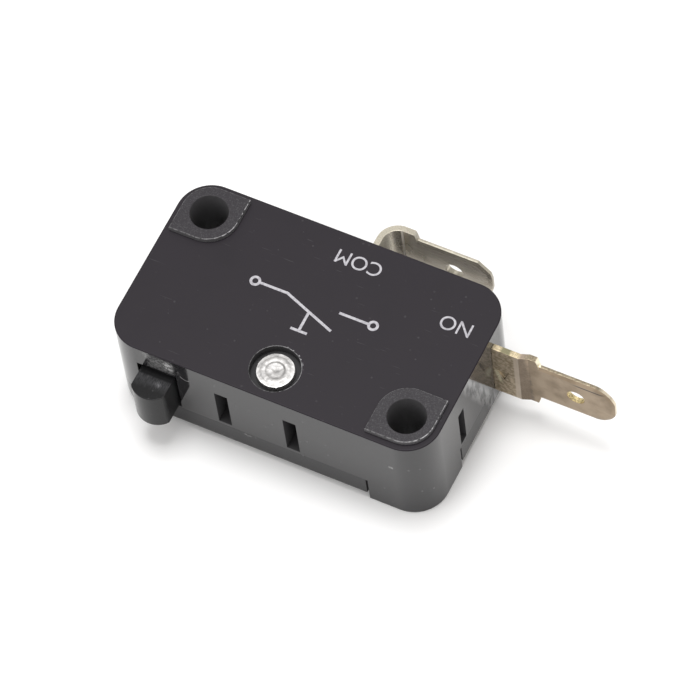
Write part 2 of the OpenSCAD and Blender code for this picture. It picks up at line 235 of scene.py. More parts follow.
def ramp(net, value, low, high, start=0.0, end=1.0):
    made = shader_node(net, "MapRange", From_Min=low, From_Max=high, To_Min=start, To_Max=end)
    net.links.new(value, made.inputs["Value"])
    return made.outputs["Result"]


def inverse(net, mask):
    return ramp(net, mask, 0, 1, 1.0, 0.0)


def zone(net, value, middle, half, fade):
    away = calc(net, "ABSOLUTE", calc(net, "SUBTRACT", value, middle))
    return ramp(net, away, half, half + fade, 1.0, 0.0)


def window(net, *sides):
    return product(net, *[zone(net, *side) for side in sides])


def distance_to(net, spot, **middle):
    place = shader_node(net, "CombineXYZ")
    target = shader_node(net, "CombineXYZ", **middle)
    away = shader_node(net, "VectorMath", {"operation": "DISTANCE"})
    for axis in middle:
        net.links.new(spot[axis], place.inputs[axis])
    for end, socket in zip((place, target), away.inputs):
        net.links.new(end.outputs["Vector"], socket)
    return away.outputs["Value"]


def stretched(net, place, *scale):
    made = shader_node(net, "Mapping", Scale=scale)
    net.links.new(place, made.inputs["Vector"])
    return made.outputs["Vector"]


def cloud(net, place, scale, detail=3):
    made = shader_node(net, "TexNoise", Scale=scale, Detail=detail)
    net.links.new(place, made.inputs["Vector"])
    return made.outputs["Fac"]


def blend(net, mask, first, second):
    made = shader_node(net, "Mix", {"data_type": "RGBA"})
    net.links.new(mask, made.inputs["Factor"])
    for socket, colour in zip((made.inputs[6], made.inputs[7]), (first, second)):
        if isinstance(colour, tuple):
            socket.default_value = (*colour, 1)
        else:
            net.links.new(colour, socket)
    return made.outputs[2]


def new_material(name, specular=0.5, metallic=0.0):
    made = bpy.data.materials.new(name)
    made.use_nodes = True
    shade = made.node_tree.nodes["Principled BSDF"]
    shade.inputs["Specular IOR Level"].default_value = specular
    shade.inputs["Metallic"].default_value = metallic
    return made, made.node_tree, shade


def feed(net, node, **sources):
    for name, source in sources.items():
        net.links.new(source, node.inputs[name.replace("_", " ")])


def add_relief(net, shade, height, depth, strength):
    bump = shader_node(net, "Bump", Strength=strength, Distance=depth * MM)
    net.links.new(height, bump.inputs["Height"])
    feed(net, shade, Normal=bump.outputs["Normal"])


# Where a point lies, in millimetres, and which way its surface faces
where, _, where_out = new_group("where", (), (
    ("Place", "Vector"), ("X", "Float"), ("Y", "Float"), ("Z", "Float"),
    ("Facing X", "Float"), ("Facing Y", "Float"), ("Facing Z", "Float")))
where_coords = shader_node(where, "TexCoord")
where_mm = shader_node(where, "VectorMath", {"operation": "SCALE"}, Scale=1 / MM)
where_axes = shader_node(where, "SeparateXYZ")
where_facing = shader_node(where, "SeparateXYZ")
where.links.new(where_coords.outputs["Object"], where_mm.inputs[0])
where.links.new(where_mm.outputs[0], where_axes.inputs[0])
where.links.new(where_mm.outputs[0], where_out.inputs["Place"])
where.links.new(where_coords.outputs["Normal"], where_facing.inputs[0])
for axis in "XYZ":
    where.links.new(where_axes.outputs[axis], where_out.inputs[axis])
    where.links.new(where_facing.outputs[axis], where_out.inputs["Facing " + axis])

# Mould texture: Grain is the eroded finish, Flow the slow waves of a polished wall, Mottle the
# patchy colour, Dust small light specks, Scratch thin rubbed lines
mould, mould_in, mould_out = new_group("mould_texture", ("Grain Size",), (
    ("Grain", "Float"), ("Flow", "Float"), ("Mottle", "Float"), ("Dust", "Float"), ("Scratch", "Float")))
mould_place = place_group(mould, where)["Place"]
grain = shader_node(mould, "TexNoise", Detail=2)
mould.links.new(mould_place, grain.inputs["Vector"])
mould.links.new(calc(mould, "DIVIDE", 1.0, mould_in.outputs["Grain Size"]), grain.inputs["Scale"])
specks = shader_node(mould, "TexVoronoi", Scale=1.7)
mould.links.new(mould_place, specks.inputs["Vector"])
speck_pick = shader_node(mould, "SeparateColor")
mould.links.new(specks.outputs["Color"], speck_pick.inputs["Color"])
speck_size = ramp(mould, speck_pick.outputs["Green"], 0, 1, 0.05, 0.17)
speck_dots = calc(mould, "LESS_THAN", specks.outputs["Distance"], speck_size)
speck_some = ramp(mould, speck_pick.outputs["Red"], 0.5, 1.0)
scratch_turn = shader_node(mould, "Mapping", Rotation=(0, 0, math.radians(-34)), Scale=(0.32, 5.5, 0.6))
mould.links.new(mould_place, scratch_turn.inputs["Vector"])
scratch_lines = cloud(mould, scratch_turn.outputs["Vector"], 1.6, 1)
feed(mould, mould_out,
     Grain=grain.outputs["Fac"],
     Flow=cloud(mould, mould_place, 0.35, 1),
     Mottle=cloud(mould, mould_place, 0.3, 5),
     Dust=product(mould, speck_dots, speck_some),
     Scratch=ramp(mould, scratch_lines, 0.76, 0.8))

# Polished walls, with dust, scuffs under a painted reflection over the plunger's opening, a painted
# reflection of the plunger's nose beside it, and paler patches and a streaky film on the end wall
scuff_x, scuff_z = -8.95, 8.7
reflection_core_x, reflection_core_z = -8.22, 8.83
reflection_arc_x, reflection_arc_z, reflection_arc_radius = -6.7, 8.3, 0.6
nick_x, nick_z = 10.8, 6.57
smudge_x, smudge_z = -1.9, 2.6
film_y, film_z, film_lean = -0.6, 9.6, 0.447
dust_grey = (0.4, 0.4, 0.41)
scuff_and_sheen_grey = (0.45, 0.45, 0.45)
fine_grain = 0.07
case_black, net, shade = new_material("case_black")
spot = place_group(net, where)
finish = place_group(net, mould, Grain_Size=fine_grain)
colour = blend(net, finish["Mottle"], (0.0075, 0.0072, 0.0084), (0.0125, 0.0119, 0.0135))
marks = strongest(net, product(net, finish["Dust"], 0.25), product(net, finish["Scratch"], 0.08))
colour = blend(net, marks, colour, dust_grey)
on_front = ramp(net, spot["Facing Y"], -0.9, -0.8, 1.0, 0.0)
on_end = ramp(net, spot["Facing X"], 0.8, 0.9)
scuff_cloud = cloud(net, spot["Place"], 5.0, 6)
haze_wander = product(net, calc(net, "SUBTRACT", cloud(net, spot["Place"], 1.8, 4), 0.5), 2.4)
haze_x = calc(net, "ADD", spot["X"], haze_wander)
haze_zone = product(net, window(net, (haze_x, scuff_x, 0.8, 0.6), (spot["Z"], scuff_z, 0.8, 0.3)), on_front)
# Over the opening the scuffs are painted paler as a painted reflection, strongest in a core near the
# opening's right end
scuff_reflection = product(net, haze_zone, ramp(net, scuff_cloud, 0.36, 0.66, 0.1, 0.36))
reflection_core_zone = window(net, (spot["X"], reflection_core_x, 0.2, 0.4), (spot["Z"], reflection_core_z, 0.3, 0.5))
reflection_core = product(net, reflection_core_zone, on_front, ramp(net, scuff_cloud, 0.4, 0.56, 0.15, 0.95))
# Painted reflection of the plunger's nose edge: a thin pale arc beside the opening's upper right corner
nose_reflection_arc = zone(net, distance_to(net, spot, X=reflection_arc_x, Z=reflection_arc_z), reflection_arc_radius, 0.02, 0.03)
nose_reflection = product(net, nose_reflection_arc, ramp(net, spot["Z"], reflection_arc_z - 0.3, reflection_arc_z - 0.15, 1.0, 0.0),
               ramp(net, spot["X"], reflection_arc_x + 0.1, reflection_arc_x + 0.3, 1.0, 0.0), on_front, 0.55)
nick_zone = window(net, (spot["X"], nick_x, 0.08, 0.15), (spot["Z"], nick_z, 0.05, 0.12))
nick = product(net, nick_zone, on_front, ramp(net, scuff_cloud, 0.36, 0.56, 0.1, 0.8))
smudge_zone = window(net, (spot["X"], smudge_x, 0.15, 0.4), (spot["Z"], smudge_z, 0.05, 0.2))
smudge = product(net, smudge_zone, on_front, ramp(net, scuff_cloud, 0.45, 0.62, 0.0, 0.3))
# The end wall turns paler towards the back in cloudy patches
end_paler_back = product(net, on_end, ramp(net, spot["Y"], 0.4, 1.4), ramp(net, scuff_cloud, 0.3, 0.7, 0.03, 0.09))
scuff_and_sheen = strongest(net, scuff_reflection, reflection_core, nose_reflection, nick, smudge, end_paler_back)
gloss = ramp(net, finish["Mottle"], 0.3, 0.7, 0.07, 0.13)
film_line = calc(net, "ADD", spot["Y"], product(net, calc(net, "SUBTRACT", spot["Z"], film_z), film_lean))
film_streaks = cloud(net, stretched(net, spot["Place"], 1.0, 1.0, 0.3), 2.2, 5)
film = product(net, on_end, zone(net, film_line, film_y, 0.4, 0.5), ramp(net, film_streaks, 0.4, 0.56))
feed(net, shade,
     Base_Color=blend(net, scuff_and_sheen, colour, scuff_and_sheen_grey),
     Roughness=calc(net, "ADD", gloss, product(net, haze_zone, 0.12)),
     Coat_Weight=film)
waves = calc(net, "ADD", product(net, finish["Grain"], 0.05), product(net, finish["Flow"], 1.5))
add_relief(net, shade, waves, 0.006, 0.5)

# Eroded face and pads: matte, the pads rubbed to a fine sparkle, a few pale nicks round the recess
face_matte, net, shade = new_material("face_matte", specular=0.25)
spot = place_group(net, where)
finish = place_group(net, mould, Grain_Size=fine_grain)
colour = blend(net, finish["Mottle"], (0.0085, 0.0058, 0.0096), (0.0125, 0.0088, 0.0138))
sparkle = ramp(net, cloud(net, spot["Place"], 11.0, 3), 0.5, 0.76)
on_pad = ramp(net, spot["Z"], face_z + 0.2, face_z + 0.3)
pad_side = ramp(net, spot["X"], 0.0, 1.0, 0.8, 1.0)
pad_rub = product(net, on_pad, pad_side, calc(net, "ADD", product(net, sparkle, 0.75), 0.2))
colour = blend(net, pad_rub, colour, (0.085, 0.084, 0.088))
marks = product(net, strongest(net, finish["Dust"], finish["Scratch"]), 0.05)
colour = blend(net, marks, colour, dust_grey)
from_rivet = distance_to(net, spot, X=rivet_axis.x, Y=rivet_axis.y)
nick_side = product(net, ramp(net, spot["X"], rivet_axis.x - 0.4, rivet_axis.x + 0.3),
                    ramp(net, spot["Y"], rivet_axis.y + 0.5, rivet_axis.y + 1.0))
nicks = product(net, zone(net, from_rivet, recess_radius + 0.06, 0.06, 0.05), nick_side,
                ramp(net, cloud(net, spot["Place"], 4.0, 2), 0.54, 0.62, 0.0, 0.7))
feed(net, shade,
     Base_Color=blend(net, nicks, colour, (0.45, 0.45, 0.46)),
     Roughness=ramp(net, finish["Mottle"], 0.3, 0.7, 0.4, 0.48))
add_relief(net, shade, finish["Grain"], 0.006, 0.5)


# Inside the slots and the hollow the mould was never polished, the bores have a satin draw
def plain_moulding(name, specular, grain_size, dark, light, rough, depth, strength):
    made, net, shade = new_material(name, specular)
    finish = place_group(net, mould, Grain_Size=grain_size)
    feed(net, shade,
         Base_Color=blend(net, finish["Mottle"], dark, light),
         Roughness=ramp(net, finish["Mottle"], 0.3, 0.7, *rough))
    add_relief(net, shade, finish["Grain"], depth, strength)
    return made


# Both are painted much paler than the walls' resin: painted light for the slots, bores, recess and pads'
# round sides, where little light reaches
case_inside = plain_moulding(
    "case_inside", 0.2, 0.12, (0.036, 0.0353, 0.0372), (0.055, 0.0538, 0.0563), (0.55, 0.75), 0.01, 0.6)
bore_satin_lit = plain_moulding(
    "bore_satin_lit", 0.5, 0.15, (0.085, 0.083, 0.088), (0.115, 0.113, 0.118), (0.4, 0.55), 0.008, 0.5)

# Broken edges of the pads, hole mouths and recess, rubbed pale in places, with a painted highlight on the
# pads' edges facing right and front and on the right side of the recess rim
edge_worn_lit, net, shade = new_material("edge_worn_lit")
spot = place_group(net, where)
right_facing = calc(net, "SUBTRACT", spot["Facing X"], product(net, spot["Facing Y"], 0.25))
pad_side = ramp(net, right_facing, 0.1, 0.45, 0.2, 1.0)
on_rim = ramp(net, spot["Z"], face_z + 0.02, face_z + 0.1, 1.0, 0.0)
rim_lit_side = ramp(net, spot["X"], rivet_axis.x - 1.5, rivet_axis.x + 1.8, 0.2, 0.7)
worn_and_lit_side = calc(net, "ADD", product(net, on_rim, rim_lit_side), product(net, inverse(net, on_rim), pad_side))
wear_and_highlight = product(net, ramp(net, cloud(net, spot["Place"], 3.4, 5), 0.38, 0.6), worn_and_lit_side)
feed(net, shade,
     Base_Color=blend(net, wear_and_highlight, (0.02, 0.0195, 0.021), (0.46, 0.45, 0.465)),
     Roughness=ramp(net, wear_and_highlight, 0, 1, 0.25, 0.5))
add_relief(net, shade, wear_and_highlight, 0.004, 0.5)

# Which of the mouldings' faces take which finish
WALL, INSIDE, BORE, MATTE, WORN_LIT = range(5)
outside_skin = 0.09


def paint_moulding(piece, wall):
    for material in (wall, case_inside, bore_satin_lit, face_matte, edge_worn_lit):
        piece.data.materials.append(material)
    for face in piece.data.polygons:
        middle = face.center / MM
        upright = abs(face.normal.z) < 0.5
        sloping = 0.1 < face.normal.z < 0.98
        outside = outline_reach(middle) > corner_radius - outside_skin
        in_recess = (face_z - recess_depth - rim_slack < middle.z < face_z - tolerance
                     and rivet_distance(middle) < recess_radius + tolerance)
        in_hole = upright and hole_distance(middle) < hole_radius + 0.02
        round_pad = upright and middle.z > face_z + tolerance and not outside
        pad_edge = middle.z > pad_z - pad_break and hole_distance(middle) > hole_radius + pad_break
        recess_edge = middle.z > face_z - rim_break and rivet_distance(middle) < recess_radius + rim_break
        flat_side = middle.z > face_z - tolerance or near(middle.z, cover_low) or near(middle.z, 0)
        if sloping and (pad_edge or recess_edge):
            face.material_index = WORN_LIT
        elif in_recess:
            face.material_index = INSIDE
        elif in_hole or round_pad:
            face.material_index = BORE
        elif flat_side or sloping and middle.z > face_z - face_break:
            face.material_index = MATTE
        elif not outside:
            face.material_index = INSIDE
        else:
            face.material_index = WALL


paint_moulding(case_moulding, case_black)
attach(case_moulding, "housing")
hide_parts("case")


# Print
# White ink stamped on the face, to be read from the terminals' side: the terminals' labels and the
# symbol of a contact that a plunger closes.
ink_thick = 0.012
ink_sink = 0.003
ink_step = 0.001
stroke = 0.22
label_size = 1.75
com_label, no_label = (1.6, 5.9), (11.0, 3.8)
lead_start, lead_end, lead_y = 4.7, 2.3, 1.2
lever_end = (2.2, -0.5)
stem_y = 0.1
button_half, button_y = 0.6, -1.5
ring_x, ring_radius, ring_sides = 5.1, 0.46, 32
ink_low = face_z - ink_sink
print_pieces = []


def finish_print(piece):
    bpy.ops.object.transform_apply(location=True, rotation=True, scale=True)
    print_pieces.append(piece)


def next_thick():
    return ink_thick + ink_step * len(print_pieces)


def print_label(body, x, y):
    bpy.ops.object.select_all(action="DESELECT")
    bpy.ops.object.text_add()
    label = bpy.context.active_object
    label.data.body = body
    label.data.align_x = label.data.align_y = "CENTER"
    label.data.size = label_size * MM
    label.data.extrude = ink_thick / 2 * MM
    bpy.ops.object.convert(target="MESH")
    label = bpy.context.active_object
    label.rotation_euler = (0, 0, math.pi)
    label.location = (x * MM, y * MM, (ink_low + ink_thick / 2) * MM)
    finish_print(label)


def print_stroke(start, end):
    run = Vector(end) - Vector(start)
    middle = (Vector(end) + Vector(start)) / 2
    thick = next_thick()
    bpy.ops.object.select_all(action="DESELECT")
    bpy.ops.mesh.primitive_cube_add(
        size=MM, location=(middle.x * MM, middle.y * MM, (ink_low + thick / 2) * MM),
        rotation=(0, 0, math.atan2(run.y, run.x)), scale=(run.length + stroke, stroke, thick))
    finish_print(bpy.context.active_object)


def print_ring(x, y):
    bpy.ops.object.select_all(action="DESELECT")
    bpy.ops.mesh.primitive_circle_add(vertices=ring_sides, radius=ring_radius * MM, fill_type="NOTHING",
                                      location=(x * MM, y * MM, ink_low * MM))
    bpy.ops.object.mode_set(mode="EDIT")
    bpy.ops.mesh.extrude_region_move()
    inner = 1 - stroke / ring_radius
    bpy.ops.transform.resize(value=(inner, inner, 1), center_override=(x * MM, y * MM, face_z * MM))
    bpy.ops.mesh.select_all(action="SELECT")
    bpy.ops.mesh.extrude_region_move(TRANSFORM_OT_translate={"value": (0, 0, next_thick() * MM)})
    bpy.ops.mesh.select_all(action="SELECT")
    bpy.ops.mesh.normals_make_consistent(inside=False)
    bpy.ops.object.mode_set(mode="OBJECT")
    finish_print(bpy.context.active_object)


print_label("COM", *com_label)
print_label("NO", *no_label)
print_stroke((-lead_start, lead_y), (-lead_end, lead_y))
print_stroke((-lead_end, lead_y), lever_end)
print_stroke((lead_end, lead_y), (lead_start, lead_y))
print_stroke((0.0, stem_y), (0.0, button_y))
print_stroke((-button_half, button_y), (button_half, button_y))
for x in (-ring_x, ring_x):
    print_ring(x, lead_y)
bpy.ops.object.select_all(action="DESELECT")
for piece in print_pieces:
    piece.select_set(True)
face_print = print_pieces[0]
bpy.context.view_layer.objects.active = face_print
bpy.ops.object.join()
face_print.name = face_print.data.name = "face_print"

ink_white, net, shade = new_material("ink_white", specular=0.3)
spot = place_group(net, where)
worn_ink = ramp(net, cloud(net, spot["Place"], 5.0, 4), 0.42, 0.7)
feed(net, shade,
     Base_Color=blend(net, worn_ink, (0.47, 0.46, 0.49), (0.3, 0.29, 0.32)),
     Roughness=ramp(net, worn_ink, 0, 1, 0.45, 0.6))
add_relief(net, shade, worn_ink, 0.004, 0.4)
face_print.data.materials.append(ink_white)
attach(face_print, "housing")


# Cover
# Lower half of the housing, a shallow black moulding of the same resin, notched round the corner
# posts and held to the case by the rivet.
cover_specular = 0.3
cover_moulding = join_copy("cover", "cover_moulding")
break_edges(cover_moulding, on_outline_at(joint_z), joint_break)
break_edges(cover_moulding, at_level(cover_low), foot_break)
smooth_faces(cover_moulding)
cover_black = case_black.copy()
cover_black.name = "cover_black"
cover_black.node_tree.nodes["Principled BSDF"].inputs["Specular IOR Level"].default_value = cover_specular
paint_moulding(cover_moulding, cover_black)
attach(cover_moulding, "housing")
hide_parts("cover")


# Rivet
# Plated steel rivet through case and cover. Its lower head is factory made, its upper head was
# hammered over in the recess: a sloping rim, a beaded ring from the tool and a dished middle.
rivet_sides = 144
rivet_shank = 0.9
back_radius = 1.525
back_chamfer = 0.23
back_height = 0.5
seat_z = face_z - recess_depth
top_z = rivet_high.z
rim_drop, rim_height = 0.09, 0.06
rim_z = top_z - rim_drop
rim_low = rim_z - rim_height
ring_middle, ring_spread = 1.0, 0.13
dish_radius = 0.72
head_step = 0.05
dent_scale, dent_height, dent_level = 3.4, 0.03, 0.01
bead_scale, bead_height = 4, 0.018
burr_angle, burr_spread, burr_reach = math.radians(-62), 0.045, 0.06
swell_scale, swell_reach = 3, 0.02
rivet_profile = [
    (back_radius, rivet_low.z + back_chamfer), (back_radius, rivet_low.z + back_height),
    (rivet_shank, rivet_low.z + back_height), (rivet_shank, seat_z), (back_radius - 0.03, seat_z),
    (back_radius, seat_z + 0.05)]
head_curve = [
    (back_radius, rim_low), (1.495, rim_z), (1.42, rim_z + 0.02), (1.25, rim_z + 0.03),
    (1.12, top_z - 0.02), (ring_middle, top_z), (0.88, top_z - 0.01), (0.8, top_z - 0.025),
    (dish_radius, top_z - 0.06), (0.62, top_z - 0.085), (0.46, top_z - 0.1), (0.32, top_z - 0.11),
    (0.2, top_z - 0.13), (0.1, top_z - 0.155), (0.05, top_z - 0.16)]
for (near_radius, near_z), (far_radius, far_z) in zip(head_curve, head_curve[1:]):
    steps = max(1, round((near_radius - far_radius) / head_step))
    for i in range(steps):
        share = i / steps
        rivet_profile.append((near_radius + (far_radius - near_radius) * share,
                              near_z + (far_z - near_z) * share))
rivet_profile.append(head_curve[-1])


def turn_profile(name, start_radius, start_z, profile, axis, sides):
    bpy.ops.object.select_all(action="DESELECT")
    bpy.ops.mesh.primitive_circle_add(vertices=sides, radius=start_radius * MM, fill_type="NGON",
                                      location=(axis.x * MM, axis.y * MM, start_z * MM))
    piece = bpy.context.active_object
    piece.name = piece.data.name = name
    bpy.ops.object.transform_apply(location=True, rotation=True, scale=True)
    bpy.ops.object.mode_set(mode="EDIT")
    bpy.ops.mesh.select_all(action="SELECT")
    radius, z = start_radius, start_z
    for next_radius, next_z in profile:
        bpy.ops.mesh.extrude_region_move(TRANSFORM_OT_translate={"value": (0, 0, (next_z - z) * MM)})
        scale = next_radius / radius
        bpy.ops.transform.resize(value=(scale, scale, 1),
                                 center_override=(axis.x * MM, axis.y * MM, next_z * MM))
        radius, z = next_radius, next_z
    bpy.ops.mesh.select_all(action="SELECT")
    bpy.ops.mesh.normals_make_consistent(inside=False)
    bpy.ops.object.mode_set(mode="OBJECT")
    return piece


rivet_head = turn_profile(
    "rivet_head", back_radius - back_chamfer, rivet_low.z, rivet_profile, rivet_axis, rivet_sides)
for corner in rivet_head.data.vertices:
    point = corner.co / MM
    arm = point.xy - rivet_axis.xy
    if point.z < rim_low or arm.length < 0.06:
        continue
    angle = math.atan2(arm.y, arm.x)
    on_ring = math.exp(-((arm.length - ring_middle) / ring_spread) ** 2)
    dents = noise.voronoi(point * dent_scale)[0][0]
    beads = noise.noise(Vector((math.cos(angle) * bead_scale, math.sin(angle) * bead_scale, 3)))
    corner.co.z += (dent_height * dents * dents - dent_level + bead_height * beads * on_ring) * MM
    if arm.length > back_radius - 0.05:
        burr = math.exp(-((angle - burr_angle) / burr_spread) ** 2)
        swell = 1 + swell_reach * noise.noise(Vector((angle * swell_scale, 0, 7))) + burr_reach * burr
        corner.co.x = (rivet_axis.x + arm.x * swell) * MM
        corner.co.y = (rivet_axis.y + arm.y * swell) * MM
smooth_faces(rivet_head, limit_deg=28)

# Metal texture: Stain is slow discolouring, Fine the grain, Rolled the lines along a rolled strip
metal, metal_in, metal_out = new_group("metal_texture", ("Scale",), (
    ("Stain", "Float"), ("Fine", "Float"), ("Rolled", "Float")))
metal_place = place_group(metal, where)["Place"]
for output, ratio, detail, stretch in (("Stain", 1.0, 5, (1, 1, 1)), ("Fine", 12.0, 3, (1, 1, 1)),
                                       ("Rolled", 9.0, 2, (0.12, 1, 1))):
    texture = shader_node(metal, "TexNoise", Detail=detail)
    metal.links.new(stretched(metal, metal_place, *stretch), texture.inputs["Vector"])
    metal.links.new(calc(metal, "MULTIPLY", metal_in.outputs["Scale"], ratio), texture.inputs["Scale"])
    metal.links.new(texture.outputs["Fac"], metal_out.inputs[output])

rivet_plated, net, shade = new_material("rivet_plated", metallic=1.0)
spot = place_group(net, where)
patch = place_group(net, metal, Scale=2.2)
colour = blend(net, ramp(net, patch["Stain"], 0.35, 0.65), (0.4, 0.395, 0.39), (0.56, 0.55, 0.54))
from_axis = distance_to(net, spot, X=rivet_axis.x, Y=rivet_axis.y)
far_side = ramp(net, spot["Y"], rivet_axis.y - 0.1, rivet_axis.y + 0.45)
# Painted shade on the far side of the dish's groove and in the central dimple, and a painted highlight ring
# just inside the rim
groove_shade = product(net, zone(net, from_axis, dish_radius, 0.04, 0.06), far_side, 0.8)
dimple_shade = ramp(net, from_axis, 0.05, 0.35, 0.45, 0.0)
colour = blend(net, strongest(net, groove_shade, dimple_shade), colour, (0.16, 0.157, 0.152))
rim_highlight = zone(net, from_axis, back_radius - 0.065, 0.03, 0.04)
colour = blend(net, product(net, rim_highlight, 0.7), colour, (0.8, 0.79, 0.78))
feed(net, shade, Base_Color=colour, Roughness=ramp(net, patch["Fine"], 0.3, 0.7, 0.48, 0.6))
add_relief(net, shade, patch["Fine"], 0.008, 0.4)
rivet_head.data.materials.append(rivet_plated)
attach(rivet_head, "housing")
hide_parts("rivet")


# Terminals
# Brass strip, blanked, bent and coined: dull brown rolled faces, brighter cut edges, grime, a smear and a
# dark line near the wall, painted highlights and painted shade. COM comes out of the back wall and bends, NO
# comes out of the end wall and jogs.
wall_end = case_high.x
wall_back = case_high.y
out_of_wall = 0.05
no_low, no_high = [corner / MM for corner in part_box("no_terminal")]
no_tip = no_high.x
tip_length, tip_round = 1.5, 0.45
cut_break = 0.03
jog_start, jog_end = wall_end + 2.3, wall_end + 3.0
shoulder_x, shoulder_z = 17.7, 7.0
eye_x, eye_z, eye_radius = no_tip - 3.3, (no_low.z + no_high.z) / 2, 0.75
crease_x = 2.95
band_x = jog_start - 0.22
root_dull_x = wall_end + 1.15
smear_x, smear_z, smear_lean = 14.34, 4.5, 0.24
top_line_x, top_line_z = 22.0, 7.12
strip_brass, net, shade = new_material("strip_brass", metallic=1.0)
spot = place_group(net, where)
patch = place_group(net, metal, Scale=0.7)
on_no = ramp(net, spot["X"], wall_end - 0.2, wall_end)
on_com = inverse(net, on_no)
on_front = ramp(net, spot["Facing Y"], -0.85, -0.6, 1.0, 0.0)

# Rolled faces: brown on NO, the inner side of COM painted paler as painted light, with a painted highlight
# on its leg
stain = ramp(net, patch["Stain"], 0.42, 0.66)
no_colour = blend(net, stain, (0.34, 0.262, 0.18), (0.245, 0.185, 0.122))
com_inner_lit_colour = blend(net, stain, (0.9, 0.82, 0.69), (0.68, 0.61, 0.5))
inner_facing = calc(net, "SUBTRACT", spot["Facing X"], spot["Facing Y"])
com_inner = product(net, on_com, ramp(net, inner_facing, -0.2, 0.3))
colour = blend(net, com_inner, no_colour, com_inner_lit_colour)
leg_highlight = product(net, com_inner, ramp(net, spot["Facing X"], 0.9, 0.98))
colour = blend(net, leg_highlight, colour, (1.0, 0.9, 0.74))

# Marks on NO: grime at its root, a painted highlight and painted shade at its jog, a dark line near its top
# edge and a smear
root = product(net, on_no, ramp(net, spot["X"], jog_start - 0.5, jog_start - 0.2, 1.0, 0.0))
colour = blend(net, root, colour, (0.56, 0.46, 0.33))
grime = product(net, root, ramp(net, cloud(net, spot["Place"], 3.2, 4), 0.38, 0.6, 0.05, 0.75))
colour = blend(net, grime, colour, (0.2, 0.15, 0.085))
jog_highlight = product(net, zone(net, spot["X"], band_x, 0.18, 0.09), on_front, 0.7)
colour = blend(net, jog_highlight, colour, (0.62, 0.53, 0.43))
jog_slant = calc(net, "ADD", spot["X"], product(net, spot["Z"], 0.06))
jog_slant = calc(net, "ADD", jog_slant, product(net, cloud(net, spot["Place"], 1.6, 4), 0.7))
jog_shade = product(net, ramp(net, spot["X"], jog_start - 0.06, jog_start + 0.02), on_front,
                   ramp(net, jog_slant, jog_start + 1.3, jog_start + 1.55, 1.0, 0.0),
                   ramp(net, patch["Fine"], 0.3, 0.6, 0.95, 0.65))
colour = blend(net, jog_shade, colour, (0.13, 0.095, 0.065))
# A dark line near the top edge, towards the tip
top_dark_line = window(net, (spot["Z"], top_line_z, 0.06, 0.05), (spot["X"], top_line_x, 0.8, 0.7))
colour = blend(net, product(net, top_dark_line, on_front, 0.9), colour, (0.05, 0.036, 0.025))
smear_line = calc(net, "ADD", spot["X"], product(net, calc(net, "SUBTRACT", spot["Z"], smear_z), smear_lean))
smear_zone = window(net, (smear_line, smear_x, 0.08, 0.14), (spot["Z"], smear_z, 0.6, 0.35))
smear = product(net, smear_zone, on_front, ramp(net, patch["Fine"], 0.35, 0.6, 0.3, 0.95))
colour = blend(net, smear, colour, (0.82, 0.76, 0.53))

# Cut edges: bright at NO's root, dull along its tab, a painted highlight on the edges facing the tip, a
# painted glint on the shoulder and a painted gold glint in the hole
edge = strongest(net, ramp(net, calc(net, "ABSOLUTE", spot["Facing Z"]), 0.45, 0.7),
                 ramp(net, spot["Facing X"], 0.75, 0.9))
edge_mottle = ramp(net, patch["Fine"], 0.38, 0.62)
root_edge = blend(net, edge_mottle, (0.64, 0.54, 0.36), (0.4, 0.33, 0.21))
root_dull = product(net, zone(net, spot["X"], root_dull_x, 0.3, 0.2), 0.9)
root_edge = blend(net, root_dull, root_edge, (0.16, 0.15, 0.085))
at_jog = ramp(net, spot["X"], jog_start - 0.1, jog_start + 0.15)
past_jog = ramp(net, spot["X"], jog_start, jog_end)
tab_edge = blend(net, edge_mottle, (0.28, 0.236, 0.165), (0.17, 0.14, 0.094))
no_edge = blend(net, past_jog, blend(net, at_jog, root_edge, (0.29, 0.228, 0.18)), tab_edge)
tip_highlight = product(net, past_jog, ramp(net, spot["Facing X"], 0.3, 0.5))
no_edge = blend(net, tip_highlight, no_edge, (0.72, 0.63, 0.48))
glint = product(net, zone(net, spot["X"], shoulder_x, 0.1, 0.12),
                ramp(net, spot["Z"], shoulder_z, shoulder_z + 0.3))
no_edge = blend(net, glint, no_edge, (0.95, 0.88, 0.68))
from_eye = distance_to(net, spot, X=eye_x, Z=eye_z)
eye_glint = ramp(net, from_eye, eye_radius + 0.04, eye_radius + 0.06, 1.0, 0.0)
no_edge = blend(net, eye_glint, no_edge, blend(net, edge_mottle, (0.9, 0.76, 0.4), (0.42, 0.33, 0.17)))
com_edge = blend(net, edge_mottle, (0.5, 0.465, 0.385), (0.38, 0.35, 0.28))
colour = blend(net, edge, colour, blend(net, on_no, com_edge, no_edge))
crease_highlight = product(net, zone(net, spot["X"], crease_x, 0.08, 0.03), on_front, on_com)
colour = blend(net, crease_highlight, colour, (0.97, 0.9, 0.8))

# The inner side of COM is the smoothest; its crease and leg carry painted highlights, pale and nearly
# without metal
polish = product(net, com_inner, inverse(net, edge))
metallic = calc(net, "ADD", product(net, polish, 0.1), 0.65)
pale = strongest(net, crease_highlight, leg_highlight)
dull = calc(net, "SUBTRACT", ramp(net, patch["Stain"], 0.3, 0.7, 0.3, 0.44), product(net, edge, 0.06))
feed(net, shade,
     Base_Color=colour,
     Metallic=product(net, metallic, ramp(net, pale, 0, 1, 1.0, 0.05)),
     Roughness=product(net, dull, ramp(net, polish, 0, 1, 1.0, 0.65)))
add_relief(net, shade, calc(net, "ADD", patch["Rolled"], patch["Fine"]), 0.006, 0.6)


def on_tip_corner(point, normals):
    through = max(abs(normal.y) for normal in normals) < 0.97 and abs(normals[0].y - normals[1].y) < 0.05
    return through and point.x > no_tip - tip_length and abs(point.z - eye_z) > 1


def outside_back(point, normals):
    return point.y > wall_back + out_of_wall


def outside_end(point, normals):
    return point.x > wall_end + out_of_wall


